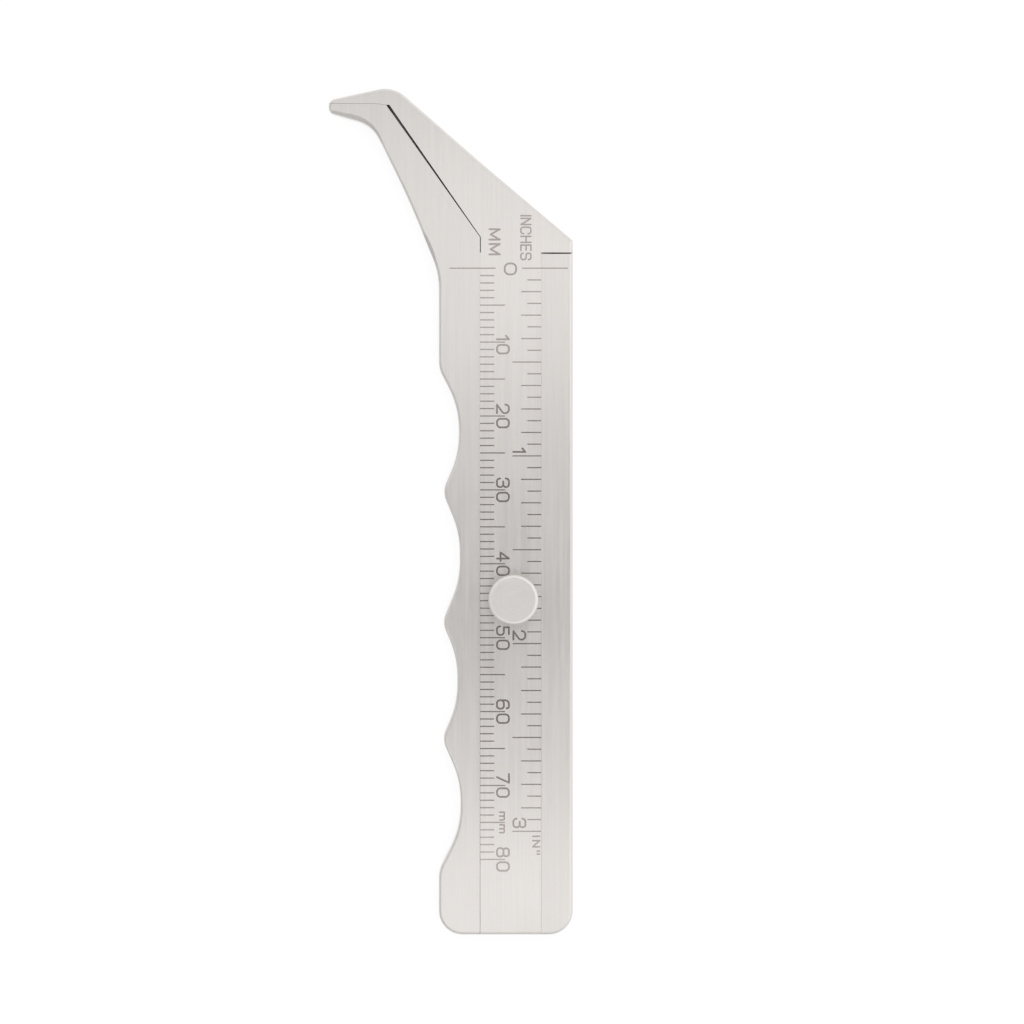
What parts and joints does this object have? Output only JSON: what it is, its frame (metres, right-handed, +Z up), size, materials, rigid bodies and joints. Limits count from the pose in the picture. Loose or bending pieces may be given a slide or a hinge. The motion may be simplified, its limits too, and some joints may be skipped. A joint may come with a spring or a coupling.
{
  "type": "surgical caliper",
  "caption": "Flat sliding steel caliper with short angled jaws, a scalloped finger grip, a thumb knob on the dovetailed slide, and engraved millimetre and inch scales.",
  "frame": {"origin": "on the back face of the frame, at the middle of the slide's width and level with the zero line", "axes": "+Y along the caliper towards the jaws, +X to the right when the engraved face is seen with the jaws up, +Z up through the thickness from the back to the engraved face"},
  "size_m": [0.033, 0.1145, 0.0055],
  "materials": {
    "frame_steel": "satin stainless steel, brushed along its length",
    "slide_steel": "satin stainless steel, brushed along its length",
    "knob_steel": "turned stainless steel, satin top with a polished rim",
    "screw_steel": "turned stainless steel",
    "spring_steel": "cold rolled spring strip",
    "rivet_steel": "stainless wire, headed and ground flush",
    "marking_fill": "dark grey-brown oxide in the engraved lines and figures, with a dull metallic sheen"
  },
  "bodies": {
    "frame": {"frame": "frame_steel", "stop_screw": "screw_steel", "friction_spring": "spring_steel", "spring_rivet_upper": "rivet_steel", "spring_rivet_lower": "rivet_steel"},
    "slide": {"slide": "slide_steel", "thumb_knob": "knob_steel", "knob_screw": "screw_steel"}
  },
  "joints": [
    {"name": "slide_travel", "type": "slide", "parent": "frame", "child": "slide", "axis": [0, 1, 0], "range_m": [0, 0.08]}
  ]
}
